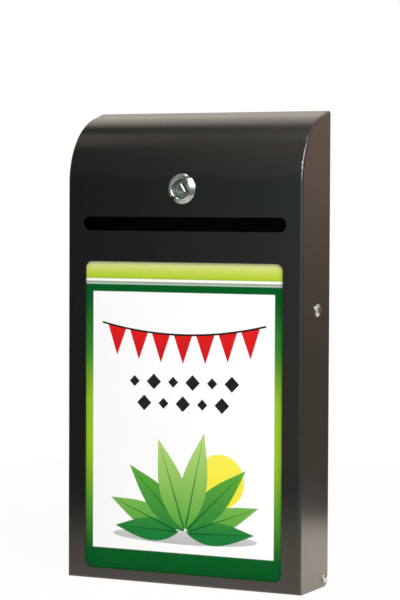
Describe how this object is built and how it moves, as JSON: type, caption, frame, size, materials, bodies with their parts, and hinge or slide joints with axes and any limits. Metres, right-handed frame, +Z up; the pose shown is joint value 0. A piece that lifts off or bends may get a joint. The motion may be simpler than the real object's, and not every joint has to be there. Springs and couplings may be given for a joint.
{
  "type": "suggestion box",
  "caption": "Shallow steel suggestion box for a wall: hinged front with round top, letter slot, quarter-turn lock, poster window and an inner bin for the slips.",
  "frame": {"origin": "centre of the four wall holes, on the back plate's rear face, which lies on the wall", "axes": "+Z up, -Y out of the wall towards the front, +X to the right as seen from the front"},
  "size_m": [0.2466, 0.07, 0.44],
  "materials": {
    "black_powder_coat": "satin fine powder coat",
    "black_inner_paint": "matt powder coat",
    "lock_chrome": "polished",
    "bright_screw": "bright nickel plate",
    "zinc_plate": "zinc plate",
    "nylon": "natural nylon",
    "black_rubber": "matt",
    "clear_sheet": "clear polished",
    "poster_paper": "coated printed paper",
    "backing_board": "matt board"
  },
  "bodies": {
    "back": {"back_tray": "black_inner_paint", "lock_catch": "zinc_plate", "catch_rivets": "zinc_plate", "hinge_pin_left": "bright_screw", "hinge_pin_right": "bright_screw", "hinge_washer_left": "nylon", "hinge_washer_right": "nylon", "closing_bumper_left": "black_rubber", "closing_bumper_right": "black_rubber"},
    "cover": {"front_cover": "black_powder_coat", "hinge_bush_left": "nylon", "hinge_bush_right": "nylon", "clear_window": "clear_sheet", "poster_sheet": "poster_paper", "backing_sheet": "backing_board", "poster_rail_left": "black_inner_paint", "poster_rail_right": "black_inner_paint", "poster_rail_bottom": "black_inner_paint", "ballot_bin": "black_inner_paint", "bin_nut_left": "zinc_plate", "bin_nut_right": "zinc_plate", "side_screw_left": "bright_screw", "side_screw_right": "bright_screw", "lock_gasket": "black_rubber", "lock_housing": "lock_chrome", "lock_star_washer": "zinc_plate", "lock_nut": "zinc_plate"},
    "cam_driver": {"lock_insert": "lock_chrome", "lock_cam": "zinc_plate", "cam_washer": "zinc_plate", "cam_screw": "zinc_plate"}
  },
  "joints": [
    {"name": "cover_hinge", "type": "hinge", "parent": "back", "child": "cover", "pos_m": [0, -0.0085, -0.212], "axis": [1, 0, 0], "range_deg": [0, 55]},
    {"name": "lock_turn", "type": "hinge", "parent": "cover", "child": "cam_driver", "pos_m": [0, -0.065, 0.1475], "axis": [0, 1, 0], "range_deg": [0, 90]}
  ]
}
